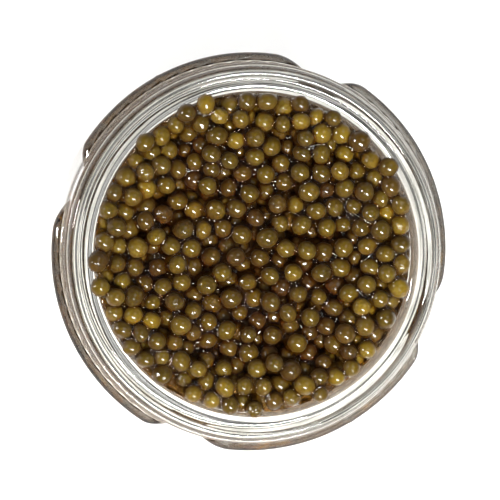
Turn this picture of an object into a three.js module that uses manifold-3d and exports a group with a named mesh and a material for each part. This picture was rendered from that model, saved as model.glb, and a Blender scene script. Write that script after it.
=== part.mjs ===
// Open clear-glass jar with a four-lug twist-off finish, filled to the rim with sturgeon roe.
// Millimetres, +Z up, origin at the middle of the base, on the surface that the jar stands on.

import * as THREE from 'three';
import { mergeVertices } from 'three/addons/utils/BufferGeometryUtils.js';
import Module from 'manifold-3d';

const quarterTurn = Math.PI / 2;
const fullTurn = Math.PI * 2;

// Jar, outside
const jarHeight = 36;
const bodyRadius = 27.6;
const neckRadius = 27.4;
const shoulderHeight = 28;
const shoulderDrop = 0.8;
const heelRadius = 5.5;
const bearingInner = 19.5;
const pushUp = 1.3;
const pushUpCurve = [[0, 1], [0.6, 0.85], [0.93, 0.4], [1, 0]];

// Jar, rim and inside
const boreRadius = 24;
const lipCrestRadius = 26;
const lipOuterDrop = 1.4;
const lipInnerDrop = 2;
const floorHeight = 4.2;
const insideHeelRadius = 6;
const jarSides = 52;
const arcSteps = 4;

// Four sloping lugs that a twist-off cap grips
const lugCount = 4;
const lugTipRadius = 29;
const lugSpan = THREE.MathUtils.degToRad(80);
const firstLugEnd = THREE.MathUtils.degToRad(73);
const lugTopHeight = 32.7;
const lugSlope = 2;
const lugHalfHeight = 1.2;
const lugEndTaper = 0.45;
const lugRootDepth = 0.9;
const lugEndDepth = 0.35;
const lugSteps = 12;
const lugEndSteps = 0.6;
const highEndRamp = 0.09;
const lowEndRamp = 0.13;

// Roe against the glass: rows of bumps, each an egg wide
const eggRadius = 1.45;
const glassClearance = 0.3;
const rowPitch = 2.7;
const lowEggDepth = 0.15;
const saddleDepth = 0.4;
const valleyDepth = 0.75;

// Roe at the surface: single eggs that stand half out of it
const surfaceEggs = 202;
const surfaceHeight = 33.5;
const highestEgg = 35.9;
const eggLift = 0.25;
const eggUnevenness = 0.5;
const swellHeight = 0.3;
const swellLength = 40;
const eggSpread = 0.1;
const eggScatter = 0.8;
const eggOvalness = 0.05;
const eggSides = 6;
const eggFootReach = 1.06;
const eggShoulderReach = 0.8;
const eggShoulderRise = 0.64;
const eggRootDepth = 0.8;
const settleSteps = 140;
const settleRate = 0.25;

// Hollows in that surface, where eggs lie a layer lower
const hollows = [
  { x: -10.6, y: 14.4, radius: 4.8, depth: 2.4 },
  { x: -10.0, y: 6.8, radius: 3.8, depth: 2 },
  { x: -15.6, y: -1.5, radius: 3.4, depth: 2.2 },
  { x: -0.8, y: -6.3, radius: 3.4, depth: 2.1 },
  { x: 9.6, y: -13.5, radius: 4.2, depth: 2.5 },
  { x: 13.4, y: -0.6, radius: 3.4, depth: 1.9 },
  { x: -4, y: -14, radius: 3, depth: 1.8 },
  { x: 3.6, y: 10.6, radius: 3, depth: 1.6 },
];
const hollowSides = 7;
const hollowCurve = [[0, -1], [0.6, -0.7], [1.1, 0.3], [0, 0.3]];

const wasm = await Module();
wasm.setup();

// One seeded sequence of draws from 0 to 1 for everything that is uneven
const drawPrime = 2147483647;
const drawFactor = 16807;
let drawState = 20871;
function draw() {
  drawState = (drawState * drawFactor) % drawPrime;
  return drawState / drawPrime;
}
const spread = (width) => (draw() * 2 - 1) * width;

// Points round part of an ellipse, from one angle to another, without the first one
function arc(cx, cz, rx, rz, from, to) {
  const points = [];
  for (let i = 1; i <= arcSteps; i++) {
    const angle = from + ((to - from) * i) / arcSteps;
    points.push(new THREE.Vector2(cx + rx * Math.cos(angle), cz + rz * Math.sin(angle)));
  }
  return points;
}

// A closed mesh as a solid: shared vertices merged, empty triangles dropped, faces pointing out
function toSolid(geometry) {
  geometry.deleteAttribute('normal');
  geometry.deleteAttribute('uv');
  const merged = mergeVertices(geometry, 1e-4);
  const vertices = merged.attributes.position;
  const corner = [new THREE.Vector3(), new THREE.Vector3(), new THREE.Vector3()];
  const triangles = [];
  let volume = 0;
  for (let i = 0; i < merged.index.count; i += 3) {
    const [a, b, c] = [0, 1, 2].map((k) => merged.index.getX(i + k));
    if (a === b || b === c || c === a) continue;
    [a, b, c].forEach((index, k) => corner[k].fromBufferAttribute(vertices, index));
    volume += corner[0].dot(corner[1].clone().cross(corner[2]));
    triangles.push([a, b, c]);
  }
  const facingOut = volume > 0 ? triangles : triangles.map(([a, b, c]) => [a, c, b]);
  return new wasm.Manifold(
    new wasm.Mesh({
      numProp: 3,
      vertProperties: new Float32Array(vertices.array),
      triVerts: new Uint32Array(facingOut.flat()),
    })
  );
}

// The largest closed skin of a solid, without sealed hollows or loose scraps
function largestSkin(solid) {
  return solid.decompose().reduce((best, piece) => (piece.volume() > best.volume() ? piece : best));
}

function toGeometry(solid) {
  const mesh = solid.getMesh();
  const geometry = new THREE.BufferGeometry();
  geometry.setAttribute('position', new THREE.BufferAttribute(mesh.vertProperties, 3));
  geometry.setIndex(new THREE.BufferAttribute(mesh.triVerts, 1));
  geometry.computeVertexNormals();
  return geometry;
}

// Profile of the glass from the middle of the underside, round the outside and the lip, to the floor
function glassProfile() {
  const lipOuter = neckRadius - lipCrestRadius;
  const lipInner = lipCrestRadius - boreRadius;
  const heelMiddle = bodyRadius - heelRadius;
  const insideHeelMiddle = boreRadius - insideHeelRadius;
  const insideHeelTop = floorHeight + insideHeelRadius;
  return [
    ...pushUpCurve.map(([out, up]) => new THREE.Vector2(bearingInner * out, pushUp * up)),
    new THREE.Vector2(heelMiddle, 0),
    ...arc(heelMiddle, heelRadius, heelRadius, heelRadius, -quarterTurn, 0),
    new THREE.Vector2(bodyRadius, shoulderHeight),
    new THREE.Vector2(neckRadius, shoulderHeight + shoulderDrop),
    new THREE.Vector2(neckRadius, jarHeight - lipOuterDrop),
    ...arc(lipCrestRadius, jarHeight - lipOuterDrop, lipOuter, lipOuterDrop, 0, quarterTurn),
    ...arc(lipCrestRadius, jarHeight - lipInnerDrop, lipInner, lipInnerDrop, quarterTurn, Math.PI),
    new THREE.Vector2(boreRadius, insideHeelTop),
    ...arc(insideHeelMiddle, insideHeelTop, insideHeelRadius, insideHeelRadius, 0, -quarterTurn),
    new THREE.Vector2(0, floorHeight),
  ];
}

// One closed skin through rings of points; a ring of one point is a pole
function ringSkin(rings) {
  const points = rings.flat();
  const first = rings.map((ring, k) => rings.slice(0, k).reduce((sum, r) => sum + r.length, 0));
  const index = [];
  const angleOf = (ring, i) => ring[i % ring.length].turn + fullTurn * Math.floor(i / ring.length);
  for (let k = 0; k + 1 < rings.length; k++) {
    const [low, high] = [rings[k], rings[k + 1]];
    const at = (ring, start, i) => start + (i % ring.length);
    let i = 0;
    let j = 0;
    const steps = [low.length === 1 ? 0 : low.length, high.length === 1 ? 0 : high.length];
    while (i < steps[0] || j < steps[1]) {
      const lowNext = i < steps[0] ? angleOf(low, i + 1) : Infinity;
      const highNext = j < steps[1] ? angleOf(high, j + 1) : Infinity;
      const a = at(low, first[k], i);
      const b = at(high, first[k + 1], j);
      if (lowNext <= highNext) {
        i += 1;
        index.push(a, at(low, first[k], i), b);
      } else {
        j += 1;
        index.push(a, at(high, first[k + 1], j), b);
      }
    }
  }
  const geometry = new THREE.BufferGeometry();
  geometry.setAttribute(
    'position',
    new THREE.Float32BufferAttribute(points.flatMap((p) => [p.x, p.y, p.z]), 3)
  );
  geometry.setIndex(index);
  return geometry;
}

// How far a lug stands out at a share of its length, rising over a ramp at each end
function lugRise(share) {
  const rise = Math.min(1, share / highEndRamp, (1 - share) / lowEndRamp);
  return Math.sin(Math.max(0, rise) * quarterTurn);
}

// A lug as a swept half-round ridge whose root lies inside the neck's wall
function lug(number) {
  const highEnd = firstLugEnd + lugSpan + (number * fullTurn) / lugCount;
  const rootRadius = neckRadius - lugRootDepth;
  const outlines = [];
  for (let step = 0; step <= lugSteps; step++) {
    const even = step / lugSteps;
    const eased = (1 - Math.cos(even * Math.PI)) / 2;
    const share = THREE.MathUtils.lerp(even, eased, lugEndSteps);
    const angle = highEnd - share * lugSpan;
    const rise = lugRise(share);
    const middle = lugTopHeight - share * lugSlope;
    const tall = lugHalfHeight * THREE.MathUtils.lerp(lugEndTaper, 1, rise);
    const out = THREE.MathUtils.lerp(neckRadius - lugEndDepth, lugTipRadius, rise) - rootRadius;
    const outline = [[0, -1], [0, 1], [0.66, 0.75], [1, 0], [0.66, -0.75]];
    outlines.push(outline.map(([bulge, lift]) => {
      const r = rootRadius + out * bulge;
      return new THREE.Vector3(r * Math.cos(angle), r * Math.sin(angle), middle + tall * lift);
    }));
  }
  return sweptSolid(outlines);
}

// A closed solid through equal outlines, with both ends closed by fans
function sweptSolid(outlines) {
  const count = outlines[0].length;
  const index = [];
  for (let s = 0; s + 1 < outlines.length; s++) {
    for (let k = 0; k < count; k++) {
      const next = (k + 1) % count;
      const [a, b] = [s * count + k, s * count + next];
      const [c, d] = [a + count, b + count];
      index.push(a, b, d, a, d, c);
    }
  }
  const last = (outlines.length - 1) * count;
  for (let k = 1; k + 1 < count; k++) {
    index.push(0, k + 1, k, last, last + k, last + k + 1);
  }
  const geometry = new THREE.BufferGeometry();
  geometry.setAttribute(
    'position',
    new THREE.Float32BufferAttribute(outlines.flat().flatMap((p) => [p.x, p.y, p.z]), 3)
  );
  geometry.setIndex(index);
  return toSolid(geometry);
}

function glassJar() {
  let solid = toSolid(new THREE.LatheGeometry(glassProfile(), jarSides).rotateX(quarterTurn));
  for (let number = 0; number < lugCount; number++) {
    solid = solid.add(lug(number));
  }
  return toGeometry(solid);
}

// The skin of the roe against the glass, by distance from the middle of the floor along it
const roeRadius = boreRadius - glassClearance;
const roeFloor = floorHeight + glassClearance;
const roeHeel = insideHeelRadius - glassClearance;
const flatLength = roeRadius - roeHeel;
const heelLength = roeHeel * quarterTurn;

function roeSkin(distance) {
  if (distance <= flatLength) return { r: distance, z: roeFloor, out: 0, up: -1 };
  if (distance >= flatLength + heelLength) {
    return { r: roeRadius, z: roeFloor + roeHeel + distance - flatLength - heelLength, out: 1, up: 0 };
  }
  const angle = (distance - flatLength) / roeHeel - quarterTurn;
  const [out, up] = [Math.cos(angle), Math.sin(angle)];
  return { r: flatLength + roeHeel * out, z: roeFloor + roeHeel + roeHeel * up, out, up };
}

// A ring of points on that skin, each sunk by its own depth
function skinRing(distance, count, phase, depthOf) {
  const { r, z, out, up } = roeSkin(distance);
  const ring = [];
  for (let i = 0; i < count; i++) {
    const turn = ((i + phase) * fullTurn) / count;
    const depth = depthOf(i);
    const reach = r - out * depth;
    ring.push(Object.assign(
      new THREE.Vector3(reach * Math.cos(turn), reach * Math.sin(turn), z - up * depth),
      { turn }
    ));
  }
  return ring;
}

// The body of the roe: a flat underside, rows of egg-sized bumps up the heel and wall, and a flat top
function roeCore() {
  const topDistance = flatLength + heelLength + surfaceHeight - roeFloor - roeHeel;
  const rows = Math.round((topDistance - flatLength) / rowPitch);
  const pitch = (topDistance - flatLength) / rows;
  const pole = (z) => [Object.assign(new THREE.Vector3(0, 0, z), { turn: 0 })];
  const rings = [pole(roeFloor)];
  for (let row = 0; row < rows; row++) {
    const distance = flatLength + (row + 0.5) * pitch;
    const eggs = Math.round((Math.PI * roeSkin(distance).r) / eggRadius);
    const phase = row % 2;
    rings.push(skinRing(distance, 2 * eggs, phase, (i) => (i % 2 ? saddleDepth : draw() * lowEggDepth)));
    rings.push(skinRing(distance + pitch / 2, eggs, phase + 0.25, () => valleyDepth));
  }
  rings.push(pole(surfaceHeight));
  return toSolid(ringSkin(rings));
}

// How far the surface lies lower at a place
function dip(x, y) {
  const depths = hollows.map((h) => h.depth * (1 - ((x - h.x) ** 2 + (y - h.y) ** 2) / h.radius ** 2));
  return Math.max(0, ...depths);
}

// A faceted bowl that is cut out of the flat top
function hollowSolid({ x, y, radius, depth }) {
  const shape = hollowCurve.map(([out, up]) => new THREE.Vector2(radius * out, depth * up));
  const geometry = new THREE.LatheGeometry(shape, hollowSides).rotateX(quarterTurn);
  return toSolid(geometry.translate(x, y, surfaceHeight));
}

// Eggs of the surface, spread evenly and then pushed apart until they lie side by side
function surfaceLayer() {
  const goldenAngle = Math.PI * (3 - Math.sqrt(5));
  const eggs = [];
  for (let i = 0; i < surfaceEggs; i++) {
    const r = (roeRadius - eggRadius) * Math.sqrt((i + 0.5) / surfaceEggs);
    const angle = i * goldenAngle;
    eggs.push({
      x: r * Math.cos(angle) + spread(eggScatter),
      y: r * Math.sin(angle) + spread(eggScatter),
      radius: eggRadius * (1 + spread(eggSpread)),
    });
  }
  for (let step = 0; step < settleSteps; step++) {
    for (let i = 0; i < eggs.length; i++) {
      for (let j = 0; j < i; j++) {
        pushApart(eggs[i], eggs[j]);
      }
      keepInside(eggs[i]);
    }
  }
  return eggs;
}

function pushApart(one, other) {
  const [dx, dy] = [one.x - other.x, one.y - other.y];
  const apart = Math.hypot(dx, dy);
  const wanted = one.radius + other.radius;
  if (apart >= wanted || apart === 0) return;
  const share = (settleRate * (wanted - apart)) / apart;
  one.x += dx * share;
  one.y += dy * share;
  other.x -= dx * share;
  other.y -= dy * share;
}

function keepInside(egg) {
  const reach = Math.hypot(egg.x, egg.y);
  const limit = roeRadius - egg.radius * eggFootReach * (1 + eggOvalness);
  if (reach <= limit) return;
  egg.x *= limit / reach;
  egg.y *= limit / reach;
}

// The part of an egg that stands out of the core: a faceted dome, slightly oval, turned its own way
function egg({ x, y, radius }) {
  const wave = fullTurn / swellLength;
  const swell = swellHeight * Math.sin(x * wave) * Math.cos(y * wave);
  const middle = surfaceHeight + eggLift + swell + spread(eggUnevenness);
  const low = dip(x, y);
  const z = Math.min(middle, highestEgg - radius) - low;
  const root = surfaceHeight - eggRootDepth - low - z;
  const shape = [
    new THREE.Vector2(0, root),
    new THREE.Vector2(eggFootReach * radius, root),
    new THREE.Vector2(eggShoulderReach * radius, eggShoulderRise * radius),
    new THREE.Vector2(0, radius),
  ];
  const geometry = new THREE.LatheGeometry(shape, eggSides).rotateX(quarterTurn);
  geometry.scale(1 + eggOvalness, 1 - eggOvalness, 1);
  geometry.rotateZ(draw() * Math.PI);
  geometry.translate(x, y, z);
  return toSolid(geometry);
}

function roe() {
  const eggs = surfaceLayer().map(egg);
  const core = roeCore().subtract(wasm.Manifold.union(hollows.map(hollowSolid)));
  const solid = wasm.Manifold.union([core, ...eggs]);
  return toGeometry(largestSkin(solid));
}

function named(name, geometry, material) {
  const mesh = new THREE.Mesh(geometry, material);
  mesh.name = name;
  return mesh;
}

const clearGlass = new THREE.MeshStandardMaterial({
  color: '#dfe6e2', roughness: 0.03, metalness: 0, transparent: true, opacity: 0.35,
});
const wetRoe = new THREE.MeshStandardMaterial({ color: '#6d5522', roughness: 0.18, metalness: 0 });

const jarOfRoe = new THREE.Group();
jarOfRoe.add(named('glass_jar', glassJar(), clearGlass));
jarOfRoe.add(named('caviar', roe(), wetRoe));

export default jarOfRoe;
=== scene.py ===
import math
import bmesh
import bpy
import numpy as np
from mathutils import Matrix, Vector


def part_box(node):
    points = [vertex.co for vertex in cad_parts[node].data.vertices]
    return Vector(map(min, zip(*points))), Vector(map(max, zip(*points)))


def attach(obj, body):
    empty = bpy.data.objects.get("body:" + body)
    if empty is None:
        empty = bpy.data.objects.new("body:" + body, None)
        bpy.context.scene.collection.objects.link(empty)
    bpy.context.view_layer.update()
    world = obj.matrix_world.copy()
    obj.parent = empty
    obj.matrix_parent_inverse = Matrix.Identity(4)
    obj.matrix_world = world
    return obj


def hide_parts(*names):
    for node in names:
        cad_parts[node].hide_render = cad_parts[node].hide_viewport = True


# Open clear-glass caviar jar, filled with single osetra eggs in their brine.
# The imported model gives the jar's height and its reach over the lugs. All other lengths are in millimetres.

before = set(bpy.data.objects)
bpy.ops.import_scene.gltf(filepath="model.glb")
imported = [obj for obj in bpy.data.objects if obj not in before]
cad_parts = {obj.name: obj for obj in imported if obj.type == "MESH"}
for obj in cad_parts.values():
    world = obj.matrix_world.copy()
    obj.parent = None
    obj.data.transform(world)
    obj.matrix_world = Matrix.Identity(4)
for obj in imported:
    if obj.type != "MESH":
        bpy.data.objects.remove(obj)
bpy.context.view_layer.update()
jarLow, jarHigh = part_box("glass_jar")
mm = 0.001
fullTurn = 2 * math.pi
sameSpot = 0.0004  # vertices closer than this are merged
onSurface = 0.01  # a vertex this close to a radius or a height lies on it
print("frame: jar %.1f mm tall, %.1f mm over its lugs" % (jarHigh.z / mm, (jarHigh.x - jarLow.x) / mm))


def linear(code):  # an sRGB hex colour as linear values
    parts = [int(code[i:i + 2], 16) / 255 for i in (1, 3, 5)]
    return [c / 12.92 if c <= 0.04045 else ((c + 0.055) / 1.055) ** 2.4 for c in parts] + [1.0]


def addNode(tree, kind, settings=None, links=None):  # a node with its settings and what feeds it
    node = tree.nodes.new(kind)
    for name, value in (settings or {}).items():
        if isinstance(name, int) or name in node.inputs.keys():
            node.inputs[name].default_value = value
        else:
            setattr(node, name, value)
    for name, source in (links or {}).items():
        tree.links.new(source, node.inputs[name])
    return node


def newMaterial(name):
    material = bpy.data.materials.new(name)
    material.use_nodes = True
    material.node_tree.nodes.clear()
    return material, material.node_tree


def newPiece(name, bm, material):
    mesh = bpy.data.meshes.new(name)
    bm.to_mesh(mesh)
    bm.free()
    mesh.shade_smooth()
    piece = bpy.data.objects.new(name, mesh)
    bpy.context.collection.objects.link(piece)
    mesh.materials.append(material)
    return piece


def arc(cx, cz, rx, rz, start, end, steps):  # round part of an ellipse, without its first point
    turns = [math.radians(start + (end - start) * i / steps) for i in range(1, steps + 1)]
    return [(cx + rx * math.cos(t), cz + rz * math.sin(t)) for t in turns]


def spinProfile(profile, steps):  # a closed shell from a profile that starts and ends on the axis
    bm = bmesh.new()
    verts = [bm.verts.new((r * mm, 0, z * mm)) for r, z in profile]
    edges = [bm.edges.new(pair) for pair in zip(verts, verts[1:])]
    bmesh.ops.spin(bm, geom=verts + edges, cent=(0, 0, 0), axis=(0, 0, 1), angle=fullTurn,
                   steps=steps, use_merge=True, use_duplicate=False)
    bmesh.ops.remove_doubles(bm, verts=bm.verts, dist=sameSpot * mm)
    bmesh.ops.recalc_face_normals(bm, faces=bm.faces)
    return bm


# Camera: almost straight above, leaning a little towards the upper left of the picture
view = {
    "azimuth": 249.0,
    "elevation": 80.5,
    "distance": 290.0,
    "aim": (-0.31, 0.41, 31.8),
    "width": 72.4,  # across the picture, at the height of the lugs
    "sensor": 36.0,
    "nearest": 10.0,
}


def makeCamera():
    camera = bpy.data.cameras.new("camera")
    camera.sensor_width = view["sensor"]
    camera.lens = camera.sensor_width * view["distance"] / view["width"]
    camera.clip_start = view["nearest"] * mm
    eye = bpy.data.objects.new("camera", camera)
    bpy.context.collection.objects.link(eye)
    a, e = math.radians(view["azimuth"]), math.radians(view["elevation"])
    back = Vector((math.sin(a) * math.cos(e), -math.cos(a) * math.cos(e), math.sin(e)))
    right = Vector((0, 1, 0)).cross(back).normalized()
    up = back.cross(right)
    eye.matrix_world = Matrix((right, up, back)).transposed().to_4x4()
    eye.location = (Vector(view["aim"]) + back * view["distance"]) * mm
    bpy.context.scene.camera = eye


# Studio: a pale table lit from below, a soft surround that darkens overhead, two lamps for the glints
# and a large dim one that fills
studio = {
    "floorSize": 1600.0,
    "floorColour": "#a8a8a6",
    "floorGlow": 0.72,
    "horizon": 1.0,  # the surround's strength low down, and overhead
    "zenith": 0.06,
    "darkFrom": 0.05,  # how far up it starts and stops fading, from 0 at the horizon to 1 overhead
    "darkTo": 0.4,
    "lampAim": 30.0,  # height on the jar's axis that the lamps point at
    "key": {"azimuth": 5, "elevation": 60, "size": (270, 48), "turn": -35, "power": 4.6, "distance": 400},
    "side": {"azimuth": 258, "elevation": 30, "size": (60, 44), "turn": 0, "power": 1.0, "distance": 400},
    "soft": {"azimuth": 140, "elevation": 64, "size": (300, 300), "turn": 0, "power": 0.8, "distance": 700},
}


def makeLamp(name, azimuth, elevation, size, turn, power, distance):
    lamp = bpy.data.lights.new(name, "AREA")
    lamp.shape = "RECTANGLE"
    lamp.size, lamp.size_y = size[0] * mm, size[1] * mm
    lamp.energy = power
    piece = bpy.data.objects.new(name, lamp)
    bpy.context.collection.objects.link(piece)
    a, e = math.radians(azimuth), math.radians(elevation)
    away = Vector((math.sin(a) * math.cos(e), -math.cos(a) * math.cos(e), math.sin(e)))
    piece.rotation_euler = away.to_track_quat("Z", "Y").to_euler()
    piece.rotation_euler.rotate_axis("Z", math.radians(turn))
    piece.location = (away * distance + Vector((0, 0, studio["lampAim"]))) * mm


def lightTable():  # matte opal sheet, lit from below: an even white ground
    material, tree = newMaterial("lightTable")
    shader = addNode(tree, "ShaderNodeBsdfPrincipled",
                     {"Base Color": linear(studio["floorColour"]), "Roughness": 0.6,
                      "Specular IOR Level": 0.2, "Emission Color": linear("#ffffff"),
                      "Emission Strength": studio["floorGlow"]})
    addNode(tree, "ShaderNodeOutputMaterial", links={"Surface": shader.outputs[0]})
    return material


def makeStudio():
    bm = bmesh.new()
    bmesh.ops.create_grid(bm, x_segments=1, y_segments=1, size=studio["floorSize"] * mm / 2)
    floor = newPiece("table", bm, lightTable())
    world = bpy.data.worlds.new("surround")
    bpy.context.scene.world = world
    world.use_nodes = True
    tree = world.node_tree
    tree.nodes.clear()
    place = addNode(tree, "ShaderNodeTexCoord")
    split = addNode(tree, "ShaderNodeSeparateXYZ", links={0: place.outputs["Generated"]})
    fade = addNode(tree, "ShaderNodeMapRange",
                   {"interpolation_type": "SMOOTHSTEP", "From Min": studio["darkFrom"],
                    "From Max": studio["darkTo"], "To Min": studio["horizon"], "To Max": studio["zenith"]},
                   {"Value": split.outputs["Z"]})
    glow = addNode(tree, "ShaderNodeBackground", {"Color": (1, 1, 1, 1)}, {"Strength": fade.outputs[0]})
    addNode(tree, "ShaderNodeOutputWorld", links={"Surface": glow.outputs[0]})
    for name in ("key", "side", "soft"):
        makeLamp(name + "Lamp", **studio[name])
    bpy.context.scene.view_settings.view_transform = "Standard"


makeCamera()
makeStudio()
print("camera and studio")


# Glass jar: one spun shell whose neck carries the four lugs
jar = {
    "height": jarHigh.z / mm,
    "bodyRadius": 27.6,
    "bodyRows": (12, 18, 24),  # heights of the mesh's rows on the body
    "neckRadius": 27.4,
    "shoulderHeight": 28.0,
    "shoulderDrop": 0.8,
    "heelRadius": 5.5,
    "bearingInner": 19.5,  # inside radius of the ring that the jar stands on
    "pushUp": 1.3,
    "pushUpFlatness": 1.5,
    "boreRadius": 24.0,
    "boreRows": (15, 20, 24, 25, 26, 27, 28, 29, 31),
    "neckBore": 23.0,
    "neckBoreSpan": (24.0, 29.0),  # heights between which the inside narrows to the neck
    "lipCrest": (26.0, 0.85, 0.9),  # radius, half width and height of the domed top
    "lipShoulder": (0.5, 0.8),  # width and height of the rounding outside it
    "lipFlare": (1.9, 1.2),  # width and height of the flare inside it
    "lipGrooves": (0.1, 0.32),  # depths outside and inside the domed top
    "floorHeight": 4.2,
    "floorRings": (14, 9, 4, 0),
    "insideHeel": 6.0,
    "steps": 480,
    "rowHeight": 0.14,  # fine enough for the lugs and the seams
    "seams": (118.5, 300.75),  # degrees where the two mould halves met: a fine upright ridge
    "seamHeight": 0.1,
    "seamReach": 0.3,  # degrees to each side
}
heelMiddle = jar["boreRadius"] - jar["insideHeel"]  # where the rounding between wall and floor is centred
heelTop = jar["floorHeight"] + jar["insideHeel"]
lugs = {
    "tipRadius": jarHigh.x / mm,
    "count": 4,
    "span": 80.0,  # degrees
    "firstEnd": 73.0,
    "topHeight": 32.7,
    "slope": 2.0,  # fall from the high end to the low end
    "halfHeight": 1.2,
    "endTaper": 0.45,  # height left at the ends
    "highRamp": 0.09,  # shares of the span in which the ends run out
    "lowRamp": 0.13,
    "bluntness": 0.7,
}


def boreAt(z):  # inside radius of the wall at a height above the inner heel
    dome = jar["lipCrest"][2]
    wide, tall = jar["lipFlare"]
    low, high = jar["neckBoreSpan"]
    narrow = np.clip((np.asarray(z) - low) / (high - low), 0, 1)
    rise = np.clip((np.asarray(z) - (jar["height"] - dome - tall)) / tall, 0, 0.99)
    return (jar["boreRadius"] + (jar["neckBore"] - jar["boreRadius"]) * narrow ** 2 * (3 - 2 * narrow)
            + wide * (1 - np.sqrt(1 - rise ** 2)))


def outerProfile():  # from the middle of the base up to the foot of the neck
    body, heel, inner = jar["bodyRadius"], jar["heelRadius"], jar["bearingInner"]
    turns = [math.radians(t) for t in range(0, 90, 6)]
    points = [(inner * math.sin(t), jar["pushUp"] * math.cos(t) ** jar["pushUpFlatness"]) for t in turns]
    points += [(inner, 0), (body - heel, 0)]
    points += arc(body - heel, heel, heel, heel, -90, 0, 14)
    points += [(body, z) for z in jar["bodyRows"]] + [(body, jar["shoulderHeight"])]
    for t in (0.25, 0.5, 0.75, 1):
        points += [(jar["neckRadius"] + (body - jar["neckRadius"]) * (1 + math.cos(math.pi * t)) / 2,
                    jar["shoulderHeight"] + jar["shoulderDrop"] * t)]
    return points


def neckProfile():  # up the neck, over the lip and down its flare
    crest, halfWidth, dome = jar["lipCrest"]
    outerGroove, innerGroove = jar["lipGrooves"]
    edge = jar["height"] - dome
    lipStart = edge - jar["lipShoulder"][1]
    low = jar["shoulderHeight"] + jar["shoulderDrop"]
    rows = round((lipStart - low) / jar["rowHeight"])
    points = [(jar["neckRadius"], low + (lipStart - low) * i / rows) for i in range(1, rows + 1)]
    points += arc(jar["neckRadius"] - jar["lipShoulder"][0], lipStart, *jar["lipShoulder"], 0, 90, 8)
    points += [(crest + halfWidth, edge - outerGroove)]
    points += arc(crest, edge, halfWidth, dome, 0, 180, 16)
    points += [(crest - halfWidth, edge - innerGroove)]
    points += arc(jar["neckBore"] + jar["lipFlare"][0], edge - jar["lipFlare"][1], *jar["lipFlare"],
                  90, 180, 14)
    return points


def innerProfile():  # down the inside to the middle of the floor
    heel = jar["insideHeel"]
    points = [(float(boreAt(z)), z) for z in jar["boreRows"][::-1]] + [(jar["boreRadius"], heelTop)]
    points += arc(heelMiddle, heelTop, heel, heel, 0, -90, 12)
    return points + [(r, jar["floorHeight"]) for r in jar["floorRings"]]


def lugBulge(turn, z):  # how far the neck stands out at a turn in degrees and a height
    for number in range(lugs["count"]):
        highEnd = lugs["firstEnd"] + lugs["span"] + number * 360 / lugs["count"]
        share = ((highEnd - turn) % 360) / lugs["span"]
        if share >= 1:
            continue
        rise = math.sin(min(1, share / lugs["highRamp"], (1 - share) / lugs["lowRamp"]) * math.pi / 2)
        tall = lugs["halfHeight"] * (lugs["endTaper"] + (1 - lugs["endTaper"]) * rise)
        across = (z - lugs["topHeight"] + share * lugs["slope"]) / tall
        if abs(across) < 1:
            return (lugs["tipRadius"] - jar["neckRadius"]) * rise * (1 - across ** 2) ** lugs["bluntness"]
    return 0.0


def makeGlassJar(material):
    bm = spinProfile(outerProfile() + neckProfile() + innerProfile(), jar["steps"])
    for v in bm.verts:
        reach = math.hypot(v.co.x, v.co.y) / mm
        if abs(reach - jar["neckRadius"]) < onSurface and v.co.z / mm > jar["shoulderHeight"]:
            turn = math.degrees(math.atan2(v.co.y, v.co.x)) % 360
            bulge = lugBulge(turn, v.co.z / mm)
            bulge += jar["seamHeight"] * any(abs(turn - seam) < jar["seamReach"] for seam in jar["seams"])
            v.co.x *= 1 + bulge / reach
            v.co.y *= 1 + bulge / reach
    piece = newPiece("glassJar", bm, material)
    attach(piece, "root")
    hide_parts("glass_jar")


flint = {
    "clear": "#f6f5ee",
    "ior": 1.52,
    "waveLength": 9.0,
    "waveDepth": 0.08,
    "waveStrength": 0.25,
}
smearAndShade = {  # thin wet streaks that run round the lip's inner half, tinted grey as painted shade
    "width": 0.45,
    "turns": 4.0,  # how often a streak starts and ends on the way round
    "height": (32.5, 33.5),  # from none to full, as the two edges
    "innerEdge": (23.8, 24.3),
    "outerEdge": (27.1, 26.5),
    "noiseSpan": (0.3, 0.62),
    "least": 0.3,
    # painted shade: the grey that darkens the glass in the streaks
    "colour": "#7f7e76",
    "roughness": 0.08,
}


def lampsPass(tree, shader):  # lamps shine through the piece, so that what is behind the glass is lit
    path = addNode(tree, "ShaderNodeLightPath")
    clear = addNode(tree, "ShaderNodeBsdfTransparent")
    mix = addNode(tree, "ShaderNodeMixShader",
                  links={0: path.outputs["Is Shadow Ray"], 1: shader.outputs[0], 2: clear.outputs[0]})
    addNode(tree, "ShaderNodeOutputMaterial", links={"Surface": mix.outputs[0]})


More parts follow.
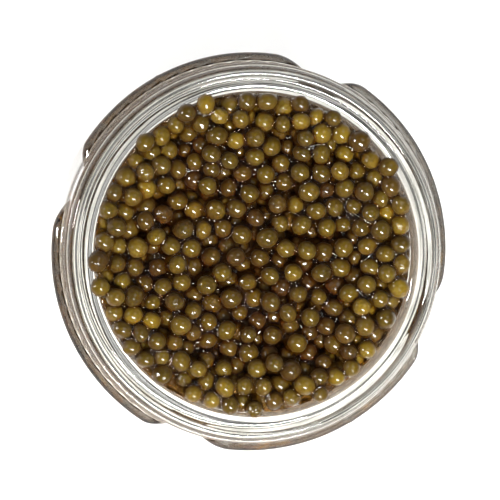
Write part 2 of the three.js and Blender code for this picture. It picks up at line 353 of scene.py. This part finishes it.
def smearAndShadeMask(tree, place):  # how wet the glass is, and how much painted shade it gets: streaks along the turn, kept to a band of the lip
    flat = addNode(tree, "ShaderNodeVectorMath", {"operation": "MULTIPLY", 1: (1, 1, 0)},
                   {0: place.outputs["Object"]})
    reach = addNode(tree, "ShaderNodeVectorMath", {"operation": "LENGTH"}, {0: flat.outputs[0]})
    around = addNode(tree, "ShaderNodeVectorMath", {"operation": "NORMALIZE"}, {0: flat.outputs[0]})
    across = addNode(tree, "ShaderNodeMath", {"operation": "DIVIDE", 1: smearAndShade["width"] * mm},
                     {0: reach.outputs["Value"]})
    lines = addNode(tree, "ShaderNodeCombineXYZ", links={"Z": across.outputs[0]})
    along = addNode(tree, "ShaderNodeVectorMath", {"operation": "MULTIPLY_ADD", 1: (smearAndShade["turns"],) * 3},
                    {0: around.outputs[0], 2: lines.outputs[0]})
    streaks = addNode(tree, "ShaderNodeTexNoise", {"Scale": 1.0, "Detail": 2.0}, {"Vector": along.outputs[0]})
    height = addNode(tree, "ShaderNodeSeparateXYZ", links={0: place.outputs["Object"]})
    wetAndShaded = None
    for edge, source in (("innerEdge", reach.outputs["Value"]), ("outerEdge", reach.outputs["Value"]),
                         ("height", height.outputs["Z"])):
        start, full = smearAndShade[edge]
        fade = addNode(tree, "ShaderNodeMapRange", {"From Min": start * mm, "From Max": full * mm},
                       {"Value": source})
        wetAndShaded = fade if wetAndShaded is None else addNode(tree, "ShaderNodeMath", {"operation": "MULTIPLY"},
                                               {0: wetAndShaded.outputs[0], 1: fade.outputs[0]})
    start, full = smearAndShade["noiseSpan"]
    dense = addNode(tree, "ShaderNodeMapRange",
                    {"From Min": start, "From Max": full, "To Min": smearAndShade["least"]},
                    {"Value": streaks.outputs[0]})
    return addNode(tree, "ShaderNodeMath", {"operation": "MULTIPLY"},
                   {0: wetAndShaded.outputs[0], 1: dense.outputs[0]})


def flintGlass():  # colourless soda-lime glass: clear, with faint long waves and a smeared lip whose grey tint is painted shade
    material, tree = newMaterial("flintGlass")
    place = addNode(tree, "ShaderNodeTexCoord")
    waves = addNode(tree, "ShaderNodeTexNoise", {"Scale": 1 / (flint["waveLength"] * mm), "Detail": 1.0},
                    {"Vector": place.outputs["Object"]})
    bump = addNode(tree, "ShaderNodeBump",
                   {"Strength": flint["waveStrength"], "Distance": flint["waveDepth"] * mm},
                   {"Height": waves.outputs[0]})
    wetAndShaded = smearAndShadeMask(tree, place)
    # painted shade: the streaks tint the glass a darker grey
    colour = addNode(tree, "ShaderNodeMix",
                     {"data_type": "RGBA", 6: linear(flint["clear"]), 7: linear(smearAndShade["colour"])},
                     {0: wetAndShaded.outputs[0]})
    dull = addNode(tree, "ShaderNodeMath", {"operation": "MULTIPLY", 1: smearAndShade["roughness"]},
                   {0: wetAndShaded.outputs[0]})
    shader = addNode(tree, "ShaderNodeBsdfPrincipled", {"IOR": flint["ior"], "Transmission Weight": 1.0},
                     {"Base Color": colour.outputs[2], "Roughness": dull.outputs[0],
                      "Normal": bump.outputs[0]})
    lampsPass(tree, shader)
    return material


makeGlassJar(flintGlass())
print("glass jar")


# Roe: single eggs that settle into the jar, kept where they can show
roe = {
    "seed": 58,
    "eggs": 3130,
    "diameter": 2.9,
    "spread": 0.055,  # how much the diameters differ, as a share
    "capHeight": 35.85,  # no egg reaches higher
    "unevenness": 1.6,  # how much lower the lowest of the single eggs' ceilings is
    "startHeight": 1.5,  # above the floor
    "wallLean": 0.5,  # the wall is felt this share of an egg's radius above its centre
    "looseSteps": 60,  # eggs push apart, then sink too, then rest
    "sinkSteps": 110,
    "restSteps": 50,
    "sink": 0.03,
    "pairSteps": 6,  # steps between two searches for neighbours, and their reach in diameters
    "pairReach": 1.3,
    "push": 1.4,
    "spreadOut": 0.002,  # share by which the upper eggs drift outwards at a step
    "spreadAbove": 28.0,
    "topCount": 98,  # share of the eggs, in percent, that lie below the level taken as the top
    "topLayers": 3.1,  # layers that are kept under the top, along the wall and on the floor
    "wallLayers": 2.0,
    "floorLayers": 1.6,
    "heelBelow": 9.0,
    "oval": 0.11,
    "lump": 0.035,
    "lumpTurns": (2.1, 1.3),
    # the most painted shade, browner and darker, on an egg's underside
    "shadedFlankMost": 0.65,
    "deepShadeBelow": (33.2, 31.4),  # centres' heights between which eggs away from the wall turn brown: painted shade for eggs that lie deep
    # how much painted shade the eggs that lie deep get
    "deepShadeShare": 0.4,
    "wallLitZone": (14.0, 8.0),  # radius where the mix of kinds starts to change, and over what width: painted light, as lighter golden eggs grow common by the wall
}
hollows = [  # x, y, radius and depth of the places where eggs lie a layer lower
    (-10.6, 14.4, 4.8, 2.4),
    (-10.0, 6.8, 3.8, 2.0),
    (-15.6, -1.5, 3.4, 2.2),
    (-0.8, -6.3, 3.4, 2.1),
    (9.6, -13.5, 4.2, 2.5),
    (13.4, -0.6, 3.4, 1.9),
    (-4.0, -14.0, 3.0, 1.8),
    (3.6, 10.6, 3.0, 1.6),
]
kinds = {  # shares in the middle and by the wall, where more lighter golden eggs are painted light; the skin's colours where thin, dense, and low on the egg, the last a painted shade
    "oliveEggs": {"share": (0.8, 0.54), "thin": "#50400b", "dense": "#372a07", "shadedFlank": "#331806"},
    "goldenEggs": {"share": (0.08, 0.36), "thin": "#645110", "dense": "#47380b", "shadedFlank": "#42280a"},
    "umberEggs": {"thin": "#48350b", "dense": "#332408", "shadedFlank": "#321807"},  # all the others
}


def nearPairs(points, reach):
    first, second = [], []
    order = np.argsort(points[:, 2])
    heights = points[order, 2]
    for k, i in enumerate(order):
        near = order[k + 1:np.searchsorted(heights, heights[k] + reach)]
        close = near[((points[near] - points[i]) ** 2).sum(1) < reach ** 2]
        first.append(np.full(len(close), i))
        second.append(close)
    return np.concatenate(first), np.concatenate(second)


def keepInJar(points, radii, ceiling):
    flat = np.maximum(np.hypot(points[:, 0], points[:, 1]), 1e-6)
    out = np.minimum(flat, boreAt(points[:, 2] + roe["wallLean"] * radii) - radii)
    dips = [depth * (1 - ((points[:, :2] - (x, y)) ** 2).sum(1) / reach ** 2)
            for x, y, reach, depth in hollows]
    highest = ceiling - radii - np.maximum(np.max(dips, axis=0), 0)
    points[:, 2] = np.clip(points[:, 2], jar["floorHeight"] + radii, highest)
    outX, outZ = out - heelMiddle, points[:, 2] - heelTop
    apart = np.maximum(np.hypot(outX, outZ), 1e-6)
    pull = np.minimum(1, (jar["insideHeel"] - radii) / apart)
    inHeel = (outX > 0) & (outZ < 0)
    out = np.where(inHeel, heelMiddle + outX * pull, out)
    points[:, 2] = np.where(inHeel, heelTop + outZ * pull, points[:, 2])
    points[:, :2] *= (out / flat)[:, None]


def settleEggs(rng):
    count = roe["eggs"]
    radii = roe["diameter"] / 2 * (1 + roe["spread"] * np.clip(rng.normal(size=count), -2, 2))
    turn, out = rng.uniform(0, fullTurn, count), np.sqrt(rng.uniform(0, 1, count))
    reach = (jar["boreRadius"] - roe["diameter"] / 2) * out
    height = rng.uniform(jar["floorHeight"] + roe["startHeight"], roe["capHeight"], count)
    ceiling = roe["capHeight"] - roe["unevenness"] * rng.uniform(0, 1, count)
    points = np.stack([reach * np.cos(turn), reach * np.sin(turn), height], 1)
    steps = roe["looseSteps"] + roe["sinkSteps"] + roe["restSteps"]
    for step in range(steps):
        if step % roe["pairSteps"] == 0:
            a, b = nearPairs(points, roe["pairReach"] * roe["diameter"])
        between = points[a] - points[b]
        apart = np.maximum(np.sqrt((between ** 2).sum(1)), 1e-6)
        overlap = np.maximum(radii[a] + radii[b] - apart, 0)
        push = between * (0.5 * overlap / apart)[:, None]
        touching = np.bincount(a, overlap > 0, count) + np.bincount(b, overlap > 0, count)
        for k in range(3):
            move = np.bincount(a, push[:, k], count) - np.bincount(b, push[:, k], count)
            points[:, k] += roe["push"] * move / np.maximum(touching, 1) ** 0.5
        if roe["looseSteps"] <= step < steps - roe["restSteps"]:
            points[:, 2] -= roe["sink"]
        if roe["looseSteps"] <= step:
            points[:, :2] *= 1 + roe["spreadOut"] * (points[:, 2:] > roe["spreadAbove"])
        keepInJar(points, radii, ceiling)
    return points, radii


def shownEggs(points, radii):  # the layers that can be seen from above, through the wall or from below
    layer = roe["diameter"]
    top = np.percentile(points[:, 2], roe["topCount"])
    flat = np.hypot(points[:, 0], points[:, 1])
    shown = points[:, 2] > top - roe["topLayers"] * layer
    shown |= flat > jar["boreRadius"] - roe["wallLayers"] * layer
    shown |= points[:, 2] < jar["floorHeight"] + roe["floorLayers"] * layer
    heel = np.hypot(flat - heelMiddle, points[:, 2] - heelTop)
    shown |= (heel > jar["insideHeel"] - roe["wallLayers"] * layer) & (points[:, 2] < roe["heelBelow"])
    return points[shown], radii[shown]


def eggShape():  # one egg's mesh: a sphere of eighty faces
    bm = bmesh.new()
    bmesh.ops.create_icosphere(bm, subdivisions=2, radius=1.0)
    verts = np.array([v.co[:] for v in bm.verts])
    faces = np.array([[v.index for v in face.verts] for face in bm.faces])
    bm.free()
    return verts, faces


def randomTurns(rng, count):  # evenly spread rotations from random quaternions
    q = rng.normal(size=(count, 4))
    w, x, y, z = (q / np.linalg.norm(q, axis=1, keepdims=True)).T
    return np.stack([
        np.stack([1 - 2 * (y * y + z * z), 2 * (x * y - w * z), 2 * (x * z + w * y)], 1),
        np.stack([2 * (x * y + w * z), 1 - 2 * (x * x + z * z), 2 * (y * z - w * x)], 1),
        np.stack([2 * (x * z - w * y), 2 * (y * z + w * x), 1 - 2 * (x * x + y * y)], 1),
    ], 1)


def shadedFlankOf(points, shapes):  # how much painted shade, browner and darker, each vertex gets: its underside, and all of an egg that lies deep
    high, low = roe["deepShadeBelow"]
    fromAxis = np.hypot(points[:, 0], points[:, 1]) / roe["diameter"]
    inside = np.clip(jar["neckBore"] / roe["diameter"] - 1 - fromAxis, 0, 1)
    deepShade = roe["deepShadeShare"] * np.clip((high - points[:, 2]) / (high - low), 0, 1) * inside
    return (np.clip(1 - shapes[:, :, 2], 0, roe["shadedFlankMost"]) + deepShade[:, None]).reshape(-1).clip(0, 1)


def makeEggs(name, points, radii, rng, material):  # slightly oval and lumpy, each its own way up
    verts, faces = eggShape()
    count = len(points)
    stretch = 1 + roe["oval"] * rng.uniform(-1, 1, (count, 3))
    lean = rng.normal(size=(count, 2, 3))
    fine, broad = roe["lumpTurns"]
    lumps = 1 + roe["lump"] * (np.sin(fine * verts @ lean[:, 0].T) + np.sin(broad * verts @ lean[:, 1].T))
    shapes = verts[None] * stretch[:, None] * lumps.T[:, :, None]
    shapes = np.einsum("nij,nvj->nvi", randomTurns(rng, count), shapes)
    allVerts = (shapes * radii[:, None, None] + points[:, None]) * mm
    allFaces = faces[None] + (np.arange(count) * len(verts))[:, None, None]
    mesh = bpy.data.meshes.new(name)
    mesh.from_pydata(allVerts.reshape(-1, 3), [], allFaces.reshape(-1, 3).tolist())
    mesh.shade_smooth()
    tone, film = (np.repeat(rng.uniform(0, 1, count), len(verts)) for k in range(2))
    # painted shade: how much browner and darker each vertex is
    shadedFlank = shadedFlankOf(points, shapes)
    for label, amount in {"eggTone": tone, "eggFilm": film, "eggShadedFlank": shadedFlank}.items():
        values = mesh.attributes.new(label, "FLOAT", "POINT")
        values.data.foreach_set("value", amount.astype(np.float32))
    mesh.materials.append(material)
    piece = bpy.data.objects.new(name, mesh)
    bpy.context.collection.objects.link(piece)
    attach(piece, "root")


membrane = {
    "cloudSize": 1.3,
    "toneShare": 0.65,  # how much an egg's own tone adds to the clouds
    "cloudSpan": (0.45, 1.05),  # from dense to thin
    "wrinkleSize": 0.8,
    "wrinkleDepth": 0.35,
    "fewWrinkled": 4.5,  # the higher, the fewer eggs have a wrinkled film
    "wrinkleSpan": (0.04, 1.0),
    "roughness": 0.4,
    "specular": 0.05,
    "coatRoughness": 0.015,
    "coatIor": 1.4,
    "depth": 0.6,  # how far light strays under the skin
}


def eggMembrane(name, thin, dense, shadedFlank):  # wet fish egg: glossy skin over cloudy pigment, with painted shade that makes it browner and darker low down
    material, tree = newMaterial(name)
    place = addNode(tree, "ShaderNodeTexCoord")
    tone = addNode(tree, "ShaderNodeAttribute", {"attribute_name": "eggTone"})
    film = addNode(tree, "ShaderNodeAttribute", {"attribute_name": "eggFilm"})
    cloud = addNode(tree, "ShaderNodeTexNoise",
                    {"Scale": 1 / (membrane["cloudSize"] * mm), "Detail": 3.0, "Roughness": 0.6},
                    {"Vector": place.outputs["Object"]})
    both = addNode(tree, "ShaderNodeMath", {"operation": "MULTIPLY_ADD", 1: membrane["toneShare"]},
                   {0: tone.outputs["Fac"], 2: cloud.outputs[0]})
    least, most = membrane["cloudSpan"]
    share = addNode(tree, "ShaderNodeMapRange", {"From Min": least, "From Max": most},
                    {"Value": both.outputs[0]})
    colour = addNode(tree, "ShaderNodeMix", {"data_type": "RGBA", 6: linear(dense), 7: linear(thin)},
                     {0: share.outputs[0]})
    # painted shade: browner and darker on each egg's underside and on the eggs that lie deep
    low = addNode(tree, "ShaderNodeAttribute", {"attribute_name": "eggShadedFlank"})
    skin = addNode(tree, "ShaderNodeMix", {"data_type": "RGBA", 7: linear(shadedFlank)},
                   {0: low.outputs["Fac"], 6: colour.outputs[2]})
    wrinkles = addNode(tree, "ShaderNodeTexNoise",
                       {"Scale": 1 / (membrane["wrinkleSize"] * mm), "Detail": 1.5},
                       {"Vector": place.outputs["Object"]})
    few = addNode(tree, "ShaderNodeMath", {"operation": "POWER", 1: membrane["fewWrinkled"]},
                  {0: film.outputs["Fac"]})
    least, most = membrane["wrinkleSpan"]
    strength = addNode(tree, "ShaderNodeMapRange", {"To Min": least, "To Max": most},
                       {"Value": few.outputs[0]})
    bump = addNode(tree, "ShaderNodeBump", {"Distance": membrane["wrinkleDepth"] * mm},
                   {"Height": wrinkles.outputs[0], "Strength": strength.outputs[0]})
    shader = addNode(tree, "ShaderNodeBsdfPrincipled",
                     {"Roughness": membrane["roughness"], "Specular IOR Level": membrane["specular"],
                      "Coat Weight": 1.0, "Coat Roughness": membrane["coatRoughness"],
                      "Coat IOR": membrane["coatIor"], "Subsurface Weight": 0.35,
                      "Subsurface Scale": membrane["depth"] * mm, "Subsurface Radius": (1.0, 0.6, 0.2)},
                     {"Base Color": skin.outputs[2], "Normal": bump.outputs[0],
                      "Coat Normal": bump.outputs[0]})
    addNode(tree, "ShaderNodeOutputMaterial", links={"Surface": shader.outputs[0]})
    return material


rng = np.random.default_rng(roe["seed"])
eggPoints, eggRadii = settleEggs(rng)
print("roe: %d eggs settle to %.2f mm" % (len(eggPoints), (eggPoints[:, 2] + eggRadii).max()))
eggPoints, eggRadii = shownEggs(eggPoints, eggRadii)
zoneStart, zoneWidth = roe["wallLitZone"]
# painted light: the lighter golden eggs grow more common towards the wall, where light comes through the
# glass
wallLitRamp = np.clip((np.hypot(eggPoints[:, 0], eggPoints[:, 1]) - zoneStart) / zoneWidth, 0, 1)
shares = [kind["share"] for kind in kinds.values() if "share" in kind]
shares = np.array([middle + (wall - middle) * wallLitRamp for middle, wall in shares])
kindOf = (rng.uniform(0, 1, len(eggPoints)) > np.cumsum(shares, 0)).sum(0)
for number, (kindName, kind) in enumerate(kinds.items()):
    mine = kindOf == number
    skin = eggMembrane(kindName, kind["thin"], kind["dense"], kind["shadedFlank"])
    makeEggs(kindName, eggPoints[mine], eggRadii[mine], rng, skin)
print("roe: %d eggs shown" % len(eggPoints))


# Brine: the thin brown liquid that fills the gaps, and a spun mass in place of the imported caviar, under the
# layers that show
brine = {
    "colour": "#b8946c",
    "ior": 1.36,
    "rippleSize": 0.8,
    "rippleDepth": 0.35,
    "intoWall": 0.05,
    "edgeHeight": 33.5,
    "cell": 0.2,  # of the grid on which the surface is worked out
    "margin": 8,  # cells outside the bore
    "bridge": 0.5,  # radius of the ball that would roll over the surface
    "sag": 0.06,  # how far it lies below that ball, between the eggs and on them
    "bareSag": 0.4,
    "bareEdge": 0.05,
    "rings": 120,
    "steps": 480,
}
packed = {
    "colour": "#3a2812",
    "inset": 5.0,
    "level": 28.6,
    "rings": 3,
    "steps": 64,
    "leastHeel": 1.0,
}


def fillProfile(inset, level, rings):  # the jar's inside, inset, closed by a flat top of so many rings
    reach = jar["boreRadius"] - inset
    heel = jar["insideHeel"] - min(inset, jar["insideHeel"] - packed["leastHeel"])
    low = jar["floorHeight"] + inset
    points = [(0, low), (reach - heel, low)]
    points += arc(reach - heel, low + heel, heel, heel, -90, 0, 10)
    points += [(float(boreAt(z)) - inset, z) for z in jar["boreRows"] if z < level]
    reach = float(boreAt(level)) - inset
    return points + [(reach * (1 - k / rings), level) for k in range(rings + 1)]


def filmHeights(points, radii):  # where the brine's surface lies: it bridges the gaps as a small ball would
    cell = brine["cell"]
    half = int(jar["boreRadius"] / cell) + brine["margin"]
    axis = np.arange(-half, half + 1) * cell
    x, y = np.meshgrid(axis, axis, indexing="ij")
    outside = np.hypot(x, y) > boreAt(brine["edgeHeight"])
    surface = np.where(outside, brine["edgeHeight"], jar["floorHeight"])
    for (px, py, pz), r in zip(points, radii):
        i, j, k = int(round(px / cell)) + half, int(round(py / cell)) + half, int(r / cell) + 1
        window = (slice(i - k, i + k + 1), slice(j - k, j + k + 1))
        under = r ** 2 - (x[window] - px) ** 2 - (y[window] - py) ** 2
        top = np.where(under > 0, pz + np.sqrt(np.maximum(under, 0)), 0)
        surface[window] = np.maximum(surface[window], top)
    span = int(brine["bridge"] / cell)
    ball = [(i, j, math.sqrt(brine["bridge"] ** 2 - (i ** 2 + j ** 2) * cell ** 2))
            for i in range(-span, span + 1) for j in range(-span, span + 1)
            if (i ** 2 + j ** 2) * cell ** 2 < brine["bridge"] ** 2]
    centres = np.max([np.roll(surface, (i, j), (0, 1)) + rise for i, j, rise in ball], axis=0)
    bridged = np.min([np.roll(centres, (i, j), (0, 1)) - rise for i, j, rise in ball], axis=0)
    return bridged - brine["sag"] - brine["bareSag"] * np.exp((surface - bridged) / brine["bareEdge"])


def makeBrine(points, radii, material):
    level = brine["edgeHeight"]
    bm = spinProfile(fillProfile(-brine["intoWall"], level, brine["rings"]), brine["steps"])
    heights = filmHeights(points, radii)
    middle = len(heights) // 2
    for v in bm.verts:
        if abs(v.co.z / mm - level) > onSurface or math.hypot(v.co.x, v.co.y) / mm > boreAt(level):
            continue
        i, j = v.co.x / mm / brine["cell"] + middle, v.co.y / mm / brine["cell"] + middle
        a, b = int(i), int(j)
        u, w = i - a, j - b
        low = heights[a, b] * (1 - u) + heights[a + 1, b] * u
        high = heights[a, b + 1] * (1 - u) + heights[a + 1, b + 1] * u
        v.co.z = (low * (1 - w) + high * w) * mm
    return newPiece("brine", bm, material)


def brineLiquid():  # salty, oily juice between the eggs: clear amber-brown, as wet as oil
    material, tree = newMaterial("brineLiquid")
    place = addNode(tree, "ShaderNodeTexCoord")
    ripple = addNode(tree, "ShaderNodeTexNoise", {"Scale": 1 / (brine["rippleSize"] * mm), "Detail": 3.0},
                     {"Vector": place.outputs["Object"]})
    bump = addNode(tree, "ShaderNodeBump", {"Strength": 1.0, "Distance": brine["rippleDepth"] * mm},
                   {"Height": ripple.outputs[0]})
    shader = addNode(tree, "ShaderNodeBsdfPrincipled",
                     {"Base Color": linear(brine["colour"]), "Roughness": 0.01, "IOR": brine["ior"],
                      "Transmission Weight": 1.0}, {"Normal": bump.outputs[0]})
    lampsPass(tree, shader)
    return material


def packedMass():  # eggs too deep to be told apart: dark brown, wet
    material, tree = newMaterial("packedMass")
    shader = addNode(tree, "ShaderNodeBsdfPrincipled",
                     {"Base Color": linear(packed["colour"]), "Roughness": 0.3, "IOR": 1.38})
    addNode(tree, "ShaderNodeOutputMaterial", links={"Surface": shader.outputs[0]})
    return material


liquid = makeBrine(eggPoints, eggRadii, brineLiquid())
coreProfile = fillProfile(packed["inset"], packed["level"], packed["rings"])
core = newPiece("roeCore", spinProfile(coreProfile, packed["steps"]), packedMass())
for piece in (liquid, core):
    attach(piece, "root")
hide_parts("caviar")
print("brine and core")

bpy.context.view_layer.update()
